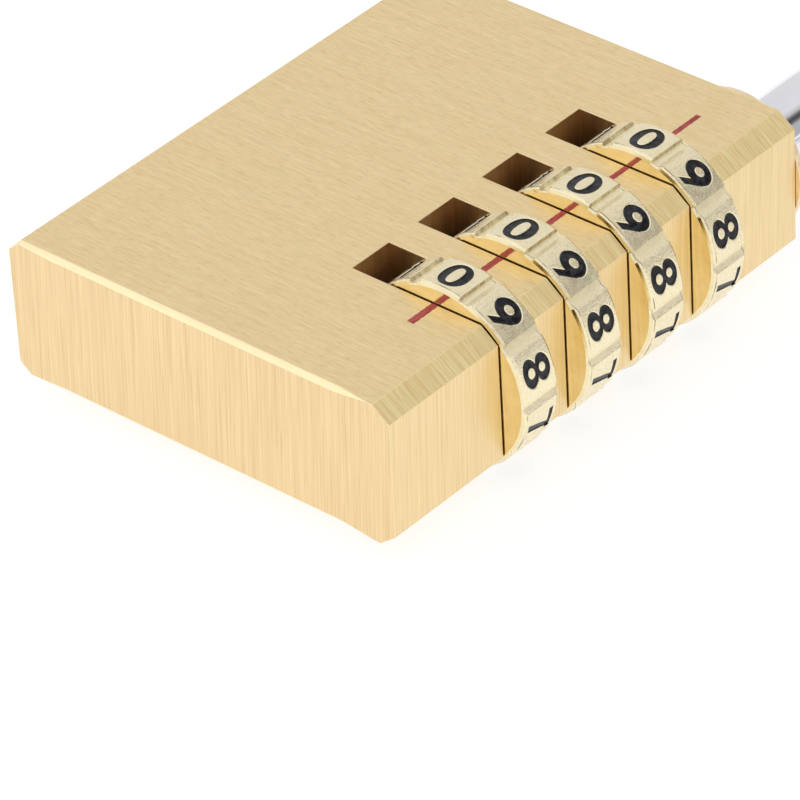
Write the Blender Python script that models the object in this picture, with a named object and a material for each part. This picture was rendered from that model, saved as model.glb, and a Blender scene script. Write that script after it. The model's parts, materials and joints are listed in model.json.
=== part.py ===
"""Four-dial brass combination padlock, lying on its back with its dials to +X and its shackle to +Y.

The lock is open: the shackle is raised and turned about its long leg, away from the hole for its toe.
Metres, +Z up. The origin is the centre of the plain bottom end of the body, half-way through its thickness.
"""

import math

import bmesh
import bpy
from mathutils import Matrix, Vector

# Body
BODY_WIDTH = 0.0400
BODY_LENGTH = 0.0510
BODY_THICKNESS = 0.0133
DIAL_CHAMFER_RUN = 0.00164
DIAL_CHAMFER_DROP = 0.00128
PLAIN_CHAMFER = 0.00115
END_BEVEL_RUN = 0.0004
END_BEVEL_DROP = 0.00052
END_BEVEL_FADE = 0.0040

# Dials
DIAL_COUNT = 4
DIGITS = 10
DIAL_PITCH = 0.0080
LAST_DIAL_DEPTH = 0.01165
DIAL_RADIUS = 0.00838
DIAL_THICKNESS = 0.0042
DIAL_RIM_RUN = 0.00032
DIAL_RIM_DROP = 0.0004
GROOVE_WIDTH = 0.00116
GROOVE_STEP_RUN = 0.00008
GROOVE_FLOOR_WIDTH = 0.00055
GROOVE_DEPTH = 0.00034
SLOT_SIDE_CLEARANCE = 0.00013
SLOT_END_CLEARANCE = 0.00051

# Tumblers, one inside each dial
TUMBLER_RADIUS = 0.0050
TUMBLER_FIT = 0.00006
GATE_THICKNESS = 0.0009
GATE_CLEARANCE = 0.0002
KEYWAY_DEPTH = 0.00045
KEYWAY_WIDTH = 0.00110
KEY_CLEARANCE = 0.00012

# Shackle
SHACKLE_RADIUS = 0.00325
LEG_EDGE_DISTANCE = 0.0060
SHACKLE_CLEARANCE = 0.0240
TOE_OVERLIFT = 0.0015
TOE_CHAMFER = 0.0006
CORE_RADIUS = 0.0022
FIN_REACH = 0.00305
FIN_WIDTH = 0.0018
FIN_HEIGHT = 0.0010
FIN_SEAT = 0.0002
SHOULDER_HEIGHT = 0.0005
RUNNING_CLEARANCE = 0.00008

# Collar and retaining ring
COLLAR_MARGIN = 0.00015
COLLAR_HEIGHT = 0.0010
COLLAR_EDGE_ROUND = 0.0003
COLLAR_SPIGOT_RADIUS = 0.0050
COLLAR_SPIGOT_DEPTH = 0.00195
COLLAR_FIT = 0.00005
RING_RADIUS = 0.0042
RING_THICKNESS = 0.0008
RING_GROOVE_RADIUS = 0.0025
RING_GROOVE_CLEARANCE = 0.00005
RING_CHAMBER_CLEARANCE = 0.0002
RING_OPENING_DEG = 80.0

# Lift spring under the long leg
LIFT_SPRING_RADIUS = 0.0011
LIFT_SPRING_WIRE = 0.0004
LIFT_SPRING_TURNS = 7
SPRING_SOCKET_DEPTH = 0.0040
SPRING_SOCKET_CLEARANCE = 0.0002
LEG_END_GAP = 0.0015
LEG_END_MARGIN = 0.0005

# Click detents
BALL_RADIUS = 0.0010
BALL_GAP = 0.00008
DETENT_HOLE_CLEARANCE = 0.0001
DETENT_HOLE_DEPTH = 0.0060
DETENT_SPRING_RADIUS = 0.00075
DETENT_SPRING_WIRE = 0.0003
DETENT_SPRING_TURNS = 6

SEAT_GAP = 0.00005
CUT_OVERRUN = 0.0010
ROUND_STEPS = 36
SMALL_ROUND_STEPS = 24
PAD_ARC_STEPS = 4
BEND_STEPS = 24
HELIX_STEPS = 8

# Places that follow from the sizes above
HALF_WIDTH = BODY_WIDTH / 2
HALF_THICKNESS = BODY_THICKNESS / 2
HALF_DIAL = DIAL_THICKNESS / 2
LEG_X = HALF_WIDTH - LEG_EDGE_DISTANCE
TOE_X = -HALF_WIDTH + LEG_EDGE_DISTANCE
DIAL_CENTRES = [
    BODY_LENGTH - LAST_DIAL_DEPTH - DIAL_PITCH * (DIAL_COUNT - 1 - index) for index in range(DIAL_COUNT)
]
SLOT_WIDTH = DIAL_THICKNESS + 2 * SLOT_SIDE_CLEARANCE
SLOT_END_X = LEG_X - DIAL_RADIUS - SLOT_END_CLEARANCE
LEG_BORE_RADIUS = SHACKLE_RADIUS + RUNNING_CLEARANCE
COLLAR_RADIUS = HALF_THICKNESS - COLLAR_MARGIN
RING_LOW = DIAL_CENTRES[-1] + HALF_DIAL + SLOT_SIDE_CLEARANCE + SHOULDER_HEIGHT + SEAT_GAP
RING_HIGH = RING_LOW + RING_THICKNESS
COLLAR_LOW = BODY_LENGTH - COLLAR_SPIGOT_DEPTH
LIFT = COLLAR_LOW - RING_HIGH - SEAT_GAP
TOE_DEPTH = LIFT - TOE_OVERLIFT
GATE_LOW = HALF_DIAL - GATE_THICKNESS
LEG_END = DIAL_CENTRES[0] + GATE_LOW - LIFT - LEG_END_MARGIN
BORE_FLOOR = LEG_END - LEG_END_GAP
BALL_X = LEG_X - DIAL_RADIUS - BALL_GAP - BALL_RADIUS

# Half a turn brings the loop beside the dials, and a little more lays it as low as the dials rest
OPEN_TURN = math.pi + math.asin((DIAL_RADIUS - SHACKLE_RADIUS) / (LEG_X - TOE_X))

BRASS = (0.78, 0.60, 0.32)
PALE_BRASS = (0.80, 0.72, 0.52)
CHROME = (0.80, 0.80, 0.82)
SPRING_STEEL = (0.45, 0.45, 0.47)


def metal(name, colour, roughness):
    material = bpy.data.materials.new(name)
    material.use_nodes = True
    shader = material.node_tree.nodes["Principled BSDF"]
    shader.inputs["Base Color"].default_value = (*colour, 1.0)
    shader.inputs["Metallic"].default_value = 1.0
    shader.inputs["Roughness"].default_value = roughness
    return material


def mesh_from(bm, name):
    """Merge the seams of a finished bmesh, face it outwards and return it as a mesh."""
    bmesh.ops.remove_doubles(bm, verts=bm.verts, dist=1e-7)
    bmesh.ops.recalc_face_normals(bm, faces=bm.faces)
    mesh = bpy.data.meshes.new(name)
    bm.to_mesh(mesh)
    bm.free()
    return mesh


def place(name, data, material, location=(0, 0, 0), parent=None):
    """A visible piece, one object for one node."""
    piece = bpy.data.objects.new(name, data)
    bpy.context.scene.collection.objects.link(piece)
    piece.location = location
    piece.parent = parent
    piece.data.materials.append(material)
    if piece.type == "MESH":
        piece.data.shade_smooth()
        piece.data.set_sharp_from_angle(angle=math.radians(25))
    return piece


def helper(name, mesh, location=(0, 0, 0), parent=None):
    """A tool shape that cuts or joins another piece and isn't a piece itself."""
    tool = bpy.data.objects.new(name, mesh)
    bpy.context.scene.collection.objects.link(tool)
    tool.location = location
    tool.parent = parent
    tool.hide_render = True
    tool.display_type = "WIRE"
    return tool


def combine(piece, tool, operation="DIFFERENCE"):
    modifier = piece.modifiers.new(f"{operation.lower()}_{tool.name}", "BOOLEAN")
    modifier.operation = operation
    modifier.solver = "EXACT"
    modifier.object = tool


def spun(name, profile, steps, closed=False):
    """Turn (radius, y) points about the Y axis; a closed profile makes a tube."""
    bm = bmesh.new()
    points = [bm.verts.new((radius, y, 0)) for radius, y in profile]
    pairs = list(zip(points, points[1:]))
    if closed:
        pairs.append((points[-1], points[0]))
    edges = [bm.edges.new(pair) for pair in pairs]
    bmesh.ops.spin(
        bm, geom=points + edges, cent=(0, 0, 0), axis=(0, 1, 0), angle=math.tau, steps=steps, use_merge=True
    )
    return mesh_from(bm, name)


def cylinder(name, radius, low, high, steps):
    return spun(name, [(0, low), (radius, low), (radius, high), (0, high)], steps)


def prism(name, outline, low, high):
    """Extrude an (x, z) outline along Y."""
    bm = bmesh.new()
    face = bm.faces.new([bm.verts.new((x, low, z)) for x, z in outline])
    grown = bmesh.ops.extrude_face_region(bm, geom=[face])
    moved = [item for item in grown["geom"] if isinstance(item, bmesh.types.BMVert)]
    bmesh.ops.translate(bm, verts=moved, vec=(0, high - low, 0))
    return mesh_from(bm, name)


def box(name, low, high):
    bm = bmesh.new()
    size = Vector(high) - Vector(low)
    centre = (Vector(high) + Vector(low)) / 2
    bmesh.ops.create_cube(bm, size=1.0, matrix=Matrix.Translation(centre) @ Matrix.Diagonal((*size, 1.0)))
    return mesh_from(bm, name)


def polar(radius, angle):
    """(x, z) at an angle that starts at +Z and turns towards +X."""
    return radius * math.sin(angle), radius * math.cos(angle)


def coil(name, radius, wire, turns, length):
    """An open compression spring along +Y from the origin, as a wire with filled ends."""
    curve = bpy.data.curves.new(name, "CURVE")
    curve.dimensions = "3D"
    curve.bevel_depth = wire / 2
    curve.bevel_resolution = 1
    curve.use_fill_caps = True
    count = turns * HELIX_STEPS + 1
    spline = curve.splines.new("POLY")
    spline.points.add(count - 1)
    travel = length - wire
    for index, point in enumerate(spline.points):
        share = index / (count - 1)
        x, z = polar(radius, math.tau * turns * share)
        point.co = (x, wire / 2 + travel * share, z, 1.0)
    return curve


def body_outline(eased):
    """(x, z) points round the block.

    At the eased bottom end the front and back edges drop a little, fading out towards the dial side.
    """
    right = HALF_WIDTH - DIAL_CHAMFER_RUN
    left = -HALF_WIDTH + PLAIN_CHAMFER
    drop = END_BEVEL_DROP if eased else 0.0
    half = [
        (HALF_WIDTH, HALF_THICKNESS - DIAL_CHAMFER_DROP),
        (right, HALF_THICKNESS),
        (right - END_BEVEL_FADE, HALF_THICKNESS - drop),
        (left + END_BEVEL_FADE, HALF_THICKNESS - drop),
        (left, HALF_THICKNESS - drop / 2),
        (-HALF_WIDTH, HALF_THICKNESS - PLAIN_CHAMFER),
    ]
    return half + [(x, -z) for x, z in reversed(half)]


def loft(bm, stations):
    """Bridge a row of (y, outline) loops and close both ends."""
    loops = []
    for y, outline in stations:
        verts = [bm.verts.new((x, y, z)) for x, z in outline]
        loops.append([bm.edges.new(pair) for pair in zip(verts, verts[1:] + verts[:1])])
    for low, high in zip(loops, loops[1:]):
        bmesh.ops.bridge_loops(bm, edges=low + high)
    for loop in (loops[0], loops[-1]):
        bmesh.ops.contextual_create(bm, geom=loop)


def body_mesh():
    bm = bmesh.new()
    plain, eased = body_outline(False), body_outline(True)
    loft(bm, [(0, eased), (END_BEVEL_RUN, plain), (BODY_LENGTH, plain)])
    bmesh.ops.connect_verts_nonplanar(bm, angle_limit=math.radians(0.1), faces=bm.faces)
    return mesh_from(bm, "body")


def make_body(brass):
    body = place("body", body_mesh(), brass)
    for index, centre in enumerate(DIAL_CENTRES, start=1):
        slot = box(
            f"slot_{index}",
            (SLOT_END_X, centre - SLOT_WIDTH / 2, -HALF_THICKNESS - CUT_OVERRUN),
            (HALF_WIDTH + CUT_OVERRUN, centre + SLOT_WIDTH / 2, HALF_THICKNESS + CUT_OVERRUN),
        )
        combine(body, helper(f"cut_slot_{index}", slot))
    mouth = BODY_LENGTH + CUT_OVERRUN
    chamber_low = DIAL_CENTRES[-1]
    leg_bore = spun(
        "leg_bore",
        [
            (0, BORE_FLOOR),
            (LEG_BORE_RADIUS, BORE_FLOOR),
            (LEG_BORE_RADIUS, chamber_low),
            (RING_RADIUS + RING_CHAMBER_CLEARANCE, chamber_low),
            (RING_RADIUS + RING_CHAMBER_CLEARANCE, COLLAR_LOW),
            (COLLAR_SPIGOT_RADIUS + COLLAR_FIT, COLLAR_LOW),
            (COLLAR_SPIGOT_RADIUS + COLLAR_FIT, mouth),
            (0, mouth),
        ],
        ROUND_STEPS,
    )
    combine(body, helper("cut_leg_bore", leg_bore, (LEG_X, 0, 0)))
    toe_floor = BODY_LENGTH - TOE_DEPTH - LEG_END_MARGIN
    toe_hole = cylinder("toe_hole", LEG_BORE_RADIUS, toe_floor, mouth, ROUND_STEPS)
    combine(body, helper("cut_toe_hole", toe_hole, (TOE_X, 0, 0)))
    hole_radius = BALL_RADIUS + DETENT_HOLE_CLEARANCE
    hole_high = DETENT_HOLE_DEPTH + CUT_OVERRUN
    hole = cylinder("detent_hole", hole_radius, 0, hole_high, SMALL_ROUND_STEPS)
    for index, centre in enumerate(DIAL_CENTRES, start=1):
        drill = helper(f"cut_detent_{index}", hole, (SLOT_END_X - DETENT_HOLE_DEPTH, centre, 0))
        drill.rotation_euler = (0, 0, -math.pi / 2)
        combine(body, drill)
    return body


def dial_outline():
    """(angle, radius) points once round a dial: a pad for each digit, then a groove.

    A groove drops off steeply behind its pad, runs flat and ramps up to the next pad.
    """
    pitch = math.tau / DIGITS
    sweep = pitch - GROOVE_WIDTH / DIAL_RADIUS
    points = []
    for digit in range(DIGITS):
        start = digit * pitch - sweep / 2
        points += [(start + sweep * step / PAD_ARC_STEPS, DIAL_RADIUS) for step in range(PAD_ARC_STEPS + 1)]
        for along in (GROOVE_STEP_RUN, GROOVE_STEP_RUN + GROOVE_FLOOR_WIDTH):
            points.append((start + sweep + along / DIAL_RADIUS, DIAL_RADIUS - GROOVE_DEPTH))
    return points


def dial_mesh():
    """Loft the outline between the two faces, with the pads' rims chamfered."""
    bm = bmesh.new()
    rim = DIAL_RADIUS - DIAL_RIM_DROP
    full = [polar(radius, angle) for angle, radius in dial_outline()]
    eased = [polar(min(radius, rim), angle) for angle, radius in dial_outline()]
    flank = HALF_DIAL - DIAL_RIM_RUN
    loft(bm, [(-HALF_DIAL, eased), (-flank, full), (flank, full), (HALF_DIAL, eased)])
    return mesh_from(bm, "dial")


def keyed_bore_mesh():
    """The dial's bore with one keyway behind each digit, so the tumbler can be set to any of them."""
    radius = TUMBLER_RADIUS + TUMBLER_FIT
    pitch = math.tau / DIGITS
    half_key = KEYWAY_WIDTH / radius / 2
    outline = []
    for digit in range(DIGITS):
        middle = digit * pitch
        outline += [polar(radius + KEYWAY_DEPTH, middle + side * half_key) for side in (-1, 1)]
        land = pitch - 2 * half_key
        first = middle + half_key
        outline += [polar(radius, first + land * step / PAD_ARC_STEPS) for step in range(PAD_ARC_STEPS + 1)]
    reach = HALF_DIAL + CUT_OVERRUN
    return prism("dial_bore", outline, -reach, reach)


def tumbler_mesh():
    """A sleeve: open chamber below for the fin, gated flange above it."""
    chamber = FIN_REACH + GATE_CLEARANCE
    hole = CORE_RADIUS + RUNNING_CLEARANCE
    return spun(
        "tumbler",
        [
            (chamber, -HALF_DIAL),
            (TUMBLER_RADIUS, -HALF_DIAL),
            (TUMBLER_RADIUS, HALF_DIAL),
            (hole, HALF_DIAL),
            (hole, GATE_LOW),
            (chamber, GATE_LOW),
        ],
        ROUND_STEPS,
        closed=True,
    )


def make_dials(pale_brass, brass):
    ring = dial_mesh()
    bore = keyed_bore_mesh()
    sleeve = tumbler_mesh()
    half_gate = FIN_WIDTH / 2 + GATE_CLEARANCE
    gate = box(
        "gate",
        (-FIN_REACH - GATE_CLEARANCE, GATE_LOW - CUT_OVERRUN, -half_gate),
        (0, HALF_DIAL + CUT_OVERRUN, half_gate),
    )
    half_key = KEYWAY_WIDTH / 2 - KEY_CLEARANCE
    key_top = TUMBLER_RADIUS + TUMBLER_FIT + KEYWAY_DEPTH - KEY_CLEARANCE
    key_root = (FIN_REACH + TUMBLER_RADIUS) / 2
    key = box("key", (-half_key, -HALF_DIAL / 2, key_root), (half_key, HALF_DIAL / 2, key_top))
    for index, centre in enumerate(DIAL_CENTRES, start=1):
        dial = place(f"dial_{index}", ring.copy(), pale_brass, (LEG_X, centre, 0))
        combine(dial, helper(f"cut_bore_{index}", bore, parent=dial))
        tumbler = place(f"tumbler_{index}", sleeve.copy(), brass, parent=dial)
        combine(tumbler, helper(f"cut_gate_{index}", gate, parent=dial))
        combine(tumbler, helper(f"join_key_{index}", key, parent=dial), "UNION")


def make_detents(steel):
    spring_high = BALL_X - math.sqrt(BALL_RADIUS**2 - DETENT_SPRING_RADIUS**2) - DETENT_SPRING_WIRE / 2
    spring_low = SLOT_END_X - DETENT_HOLE_DEPTH + SEAT_GAP
    for index, centre in enumerate(DIAL_CENTRES, start=1):
        bm = bmesh.new()
        bmesh.ops.create_uvsphere(bm, u_segments=12, v_segments=8, radius=BALL_RADIUS)
        place(f"detent_ball_{index}", mesh_from(bm, "ball"), steel, (BALL_X, centre, 0))
        name = f"detent_spring_{index}"
        length = spring_high - spring_low - SEAT_GAP
        wire = coil(name, DETENT_SPRING_RADIUS, DETENT_SPRING_WIRE, DETENT_SPRING_TURNS, length)
        spring = place(name, wire, steel, (spring_low, centre, 0))
        spring.rotation_euler = (0, 0, -math.pi / 2)


def shackle_mesh():
    """The long leg is turned, then the bar is swept round the bend and down to the toe.

    Heights are measured from where the mouth of the body is when the lock is shut, on the leg's axis.
    """
    socket = LIFT_SPRING_RADIUS + LIFT_SPRING_WIRE / 2 + SPRING_SOCKET_CLEARANCE
    bend_radius = (LEG_X - TOE_X) / 2
    bend_y = SHACKLE_CLEARANCE - bend_radius + SHACKLE_RADIUS
    leg_end = LEG_END - BODY_LENGTH
    ring_low = RING_LOW - BODY_LENGTH - RING_GROOVE_CLEARANCE
    ring_high = RING_HIGH - BODY_LENGTH + RING_GROOVE_CLEARANCE
    shoulder = RING_LOW - SHOULDER_HEIGHT - BODY_LENGTH
    end_chamfer = (CORE_RADIUS - socket) / 2
    profile = [
        (0, leg_end + SPRING_SOCKET_DEPTH),
        (socket, leg_end + SPRING_SOCKET_DEPTH),
        (socket, leg_end),
        (CORE_RADIUS - end_chamfer, leg_end),
        (CORE_RADIUS, leg_end + end_chamfer),
        (CORE_RADIUS, shoulder),
        (FIN_REACH, shoulder),
        (FIN_REACH, ring_low),
        (RING_GROOVE_RADIUS, ring_low),
        (RING_GROOVE_RADIUS, ring_high),
        (SHACKLE_RADIUS, ring_high),
        (SHACKLE_RADIUS, bend_y),
    ]
    bm = bmesh.new()
    bm.from_mesh(spun("long_leg", profile, ROUND_STEPS))
    rim = [edge for edge in bm.edges if edge.is_boundary]
    swept = bmesh.ops.spin(
        bm,
        geom=rim + list({vert for edge in rim for vert in edge.verts}),
        cent=(-bend_radius, bend_y, 0),
        axis=(0, 0, 1),
        angle=math.pi,
        steps=BEND_STEPS,
    )
    edges = [item for item in swept["geom_last"] if isinstance(item, bmesh.types.BMEdge)]
    for drop, shrink in ((bend_y + TOE_DEPTH - TOE_CHAMFER, 0.0), (TOE_CHAMFER, TOE_CHAMFER)):
        grown = bmesh.ops.extrude_edge_only(bm, edges=edges)["geom"]
        verts = [item for item in grown if isinstance(item, bmesh.types.BMVert)]
        edges = [item for item in grown if isinstance(item, bmesh.types.BMEdge)]
        bmesh.ops.translate(bm, verts=verts, vec=(0, -drop, 0))
        share = (SHACKLE_RADIUS - shrink) / SHACKLE_RADIUS
        toe_axis = Matrix.Translation((2 * bend_radius, 0, 0))
        bmesh.ops.scale(bm, verts=verts, vec=(share, 1, share), space=toe_axis)
    bmesh.ops.contextual_create(bm, geom=edges)
    return mesh_from(bm, "shackle")


def fin_stack_mesh():
    """One fin for each tumbler, reaching towards -X from inside the leg's core."""
    bm = bmesh.new()
    for centre in DIAL_CENTRES:
        high = centre + GATE_LOW - FIN_SEAT - BODY_LENGTH
        low = high - FIN_HEIGHT
        depth = FIN_REACH - CORE_RADIUS / 2
        size = Matrix.Diagonal((depth, FIN_HEIGHT, FIN_WIDTH, 1.0))
        middle = Matrix.Translation((-FIN_REACH + depth / 2, (low + high) / 2, 0))
        bmesh.ops.create_cube(bm, size=1.0, matrix=middle @ size)
    return mesh_from(bm, "fins")


def retaining_ring_mesh():
    """An open ring, bent round the groove of the long leg."""
    inner = RING_GROOVE_RADIUS + RING_GROOVE_CLEARANCE
    sweep = math.tau - math.radians(RING_OPENING_DEG)
    angles = [math.pi / 2 - sweep / 2 + sweep * step / ROUND_STEPS for step in range(ROUND_STEPS + 1)]
    outline = [polar(RING_RADIUS, angle) for angle in angles]
    outline += [polar(inner, angle) for angle in reversed(angles)]
    return prism("retaining_ring", outline, 0, RING_THICKNESS)


def make_shackle(chrome, steel):
    """The ring is raised until it stops under the collar, and the shackle turns in it."""
    ring = place("retaining_ring", retaining_ring_mesh(), steel, (LEG_X, RING_LOW + LIFT, 0))
    shackle = place("shackle", shackle_mesh(), chrome, (0, BODY_LENGTH - RING_LOW, 0), ring)
    shackle.rotation_euler = (0, OPEN_TURN, 0)
    combine(shackle, helper("join_fins", fin_stack_mesh(), parent=shackle), "UNION")


def make_collar(brass):
    bore = SHACKLE_RADIUS + RUNNING_CLEARANCE
    round_edge = COLLAR_EDGE_ROUND
    profile = [
        (bore, -COLLAR_SPIGOT_DEPTH),
        (COLLAR_SPIGOT_RADIUS, -COLLAR_SPIGOT_DEPTH),
        (COLLAR_SPIGOT_RADIUS, SEAT_GAP),
        (COLLAR_RADIUS, SEAT_GAP),
        (COLLAR_RADIUS, COLLAR_HEIGHT - round_edge),
        (COLLAR_RADIUS - round_edge, COLLAR_HEIGHT),
        (bore, COLLAR_HEIGHT),
    ]
    turned = spun("shackle_collar", profile, ROUND_STEPS, closed=True)
    place("shackle_collar", turned, brass, (LEG_X, BODY_LENGTH, 0))


def make_lift_spring(steel):
    low = BORE_FLOOR + SEAT_GAP
    high = LEG_END + SPRING_SOCKET_DEPTH - SEAT_GAP
    wire = coil("lift_spring", LIFT_SPRING_RADIUS, LIFT_SPRING_WIRE, LIFT_SPRING_TURNS, high - low)
    place("lift_spring", wire, steel, (LEG_X, low, 0))


def main():
    for old in list(bpy.data.objects):
        bpy.data.objects.remove(old, do_unlink=True)
    brass = metal("brushed_brass", BRASS, 0.35)
    pale_brass = metal("dial_brass", PALE_BRASS, 0.3)
    chrome = metal("chrome", CHROME, 0.08)
    steel = metal("spring_steel", SPRING_STEEL, 0.35)
    make_body(brass)
    make_dials(pale_brass, brass)
    make_detents(steel)
    make_shackle(chrome, steel)
    make_collar(brass)
    make_lift_spring(steel)


main()
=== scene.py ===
# %% [markdown]
# # A brass padlock with four number dials
# The lock is a block of brushed brass that lies on its back.
# Its dials are on the right. Its shackle is behind, raised and turned aside.
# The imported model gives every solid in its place, so it is loaded first and is never moved.
# Its box is kept, because what is built here has to stay inside it.

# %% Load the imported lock
import json
import math

import bmesh
import bpy
from mathutils import Euler, Matrix, Vector


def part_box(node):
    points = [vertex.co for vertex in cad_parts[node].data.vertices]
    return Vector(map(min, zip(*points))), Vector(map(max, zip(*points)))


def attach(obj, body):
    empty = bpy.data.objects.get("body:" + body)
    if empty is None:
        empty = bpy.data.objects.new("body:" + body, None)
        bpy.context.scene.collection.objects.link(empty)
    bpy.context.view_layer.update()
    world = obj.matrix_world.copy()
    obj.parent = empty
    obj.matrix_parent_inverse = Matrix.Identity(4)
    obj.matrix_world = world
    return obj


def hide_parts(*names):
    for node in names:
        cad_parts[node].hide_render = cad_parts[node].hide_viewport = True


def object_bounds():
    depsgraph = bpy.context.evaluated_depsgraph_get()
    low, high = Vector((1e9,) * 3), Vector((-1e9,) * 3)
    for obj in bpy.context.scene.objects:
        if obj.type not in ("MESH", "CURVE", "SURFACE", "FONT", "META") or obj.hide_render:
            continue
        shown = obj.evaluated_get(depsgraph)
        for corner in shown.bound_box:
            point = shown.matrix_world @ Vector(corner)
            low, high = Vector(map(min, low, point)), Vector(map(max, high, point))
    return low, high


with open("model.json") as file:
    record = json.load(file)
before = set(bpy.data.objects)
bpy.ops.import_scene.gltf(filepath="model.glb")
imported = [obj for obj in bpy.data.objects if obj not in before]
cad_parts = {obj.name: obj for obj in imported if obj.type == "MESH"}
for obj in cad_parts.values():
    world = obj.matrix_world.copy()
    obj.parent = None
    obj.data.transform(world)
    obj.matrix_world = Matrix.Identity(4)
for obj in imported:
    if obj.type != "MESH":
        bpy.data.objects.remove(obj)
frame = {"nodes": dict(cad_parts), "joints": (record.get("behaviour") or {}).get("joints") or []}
cad_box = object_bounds()
nodes = frame["nodes"]


def in_mm(box):
    return [[round(part * 1000, 2) for part in corner] for corner in box]


print("solids:", len(nodes), "box in mm:", in_mm(cad_box))

# %% [markdown]
# The camera comes next, because every later choice is judged through it.
# The lock was seen from the front right and above, from far away, through a long lens.
# Lens and place were fitted to the straight edges of the block, so they are numbers and not a guess by eye.

# %% Camera
CAMERA_PLACE = (0.26928, -0.27122, 0.27283)
CAMERA_TURN_DEG = (54.2105, 2.8058, 40.4102)
SENSOR_MM, LENS_MM = 36, 268.49
NEAREST_SEEN = 0.01

scene = bpy.context.scene
scene.view_settings.view_transform = "Standard"
camera = bpy.data.objects.new("camera", bpy.data.cameras.new("camera"))
scene.collection.objects.link(camera)
camera.location = CAMERA_PLACE
camera.rotation_euler = Euler([math.radians(angle) for angle in CAMERA_TURN_DEG])
camera.data.sensor_width = SENSOR_MM
camera.data.lens = LENS_MM
camera.data.clip_start = NEAREST_SEEN
scene.camera = camera
print("camera distance in mm:", round(camera.location.length * 1000))

# %% [markdown]
# Geometry trees, materials and the world are all trees of nodes.
# One small helper adds a node, sets its options and feeds its sockets with numbers or with other sockets.
# Two more do sums and turn one range of numbers into another, which is most of what a tree needs.


# %% Helpers for trees of nodes
def add_node(tree, kind, feeds=None, **options):
    """A new node; feeds says which input, by name or number, gets which number or socket."""
    node = tree.nodes.new(kind)
    for option, value in options.items():
        setattr(node, option, value)
    for socket, value in (feeds or {}).items():
        if isinstance(value, bpy.types.NodeSocket):
            tree.links.new(value, node.inputs[socket])
        else:
            node.inputs[socket].default_value = value
    return node


def sum_of(tree, operation, *values):
    node = add_node(tree, "ShaderNodeMath", dict(enumerate(values)), operation=operation)
    return node.outputs[0]


def share_of(tree, value, low, high, to_low=0.0, to_high=1.0):
    """How far a value is from low to high, as a number from to_low to to_high and never past them."""
    feeds = {0: value, 1: low, 2: high, 3: to_low, 4: to_high}
    return add_node(tree, "ShaderNodeMapRange", feeds, clamp=True).outputs[0]


# %% [markdown]
# All finishes here start from the same shader, so a helper makes an empty one and returns its tree.
# What differs is the pattern that drives colour, roughness and bump.
# Most patterns are placed by Object coordinates, so they stay on their piece when it moves.
# A noise that is squeezed in one direction turns into lines, which is all that brushing is.


# %% Helpers for finishes
MIX_FROM, MIX_TO, MIXED = 6, 7, 2  # the sockets of a Mix node that hold colours
MOST = (0.3, 0.7)  # most of a noise lies between these


def new_finish(name):
    material = bpy.data.materials.new(name)
    material.use_nodes = True
    tree = material.node_tree
    return material, tree, tree.nodes["Principled BSDF"]


def new_metal(name, roughness, anisotropic=0.0):
    material, tree, shader = new_finish(name)
    shader.inputs["Metallic"].default_value = 1.0
    shader.inputs["Roughness"].default_value = roughness
    shader.inputs["Anisotropic"].default_value = anisotropic
    return material, tree, shader


def place_on_piece(tree):
    return add_node(tree, "ShaderNodeTexCoord").outputs["Object"]


def noise(tree, place, cells, detail=2.0, shift=(0, 0, 0)):
    """Noise between 0 and 1; cells is how many fit in a metre, one number or one for each direction."""
    scale = cells if isinstance(cells, tuple) else (cells, cells, cells)
    mapped = add_node(tree, "ShaderNodeMapping", {"Vector": place, "Location": shift, "Scale": scale})
    feeds = {"Vector": mapped.outputs[0], "Scale": 1.0, "Detail": detail, "Roughness": 0.6}
    return add_node(tree, "ShaderNodeTexNoise", feeds).outputs["Fac"]


def blend_colours(tree, share, dark, light):
    """A colour between two others, which are sockets or three numbers each."""
    feeds = {0: share}
    for socket, colour in ((MIX_FROM, dark), (MIX_TO, light)):
        feeds[socket] = colour if isinstance(colour, bpy.types.NodeSocket) else (*colour, 1)
    return add_node(tree, "ShaderNodeMix", feeds, data_type="RGBA").outputs[MIXED]


def shade_with(tree, shader, colour, roughness, height, depth, strength=1.0):
    """Feed a shader its colour and roughness, and a bump of so many metres."""
    tree.links.new(colour, shader.inputs["Base Color"])
    tree.links.new(roughness, shader.inputs["Roughness"])
    bump = add_node(tree, "ShaderNodeBump", {"Height": height, "Distance": depth, "Strength": strength})
    tree.links.new(bump.outputs[0], shader.inputs["Normal"])


# %% [markdown]
# The block was ground on a belt, each side in its own direction.
# A map on the piece, called grain, says for each point how far it is along the lines and across them.
# Three noises read that map: hair lines, broader streaks, and a few stronger scratches.
# The shine of brushed metal is stretched across its lines, so the shader's direction comes from that map too.


# %% Brushed brass
HAIR, STREAK, CUT = (320, 9000, 1), (70, 2600, 1), (420, 5200, 1)  # cells in a metre, along and across
STREAK_SHIFT, CUT_SHIFT = (3.1, 7.7, 0), (9.4, 2.6, 0)
HAIR_SHARE, STREAK_SHARE = 0.65, 0.35
STRETCH, STRETCH_TURN = 0.35, 0.25
GRAIN_DEPTH, GRAIN_STRENGTH = 0.00002, 0.35
BRASS_DARK, BRASS_LIGHT = (0.80, 0.605, 0.315), (1.0, 0.795, 0.465)


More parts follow.
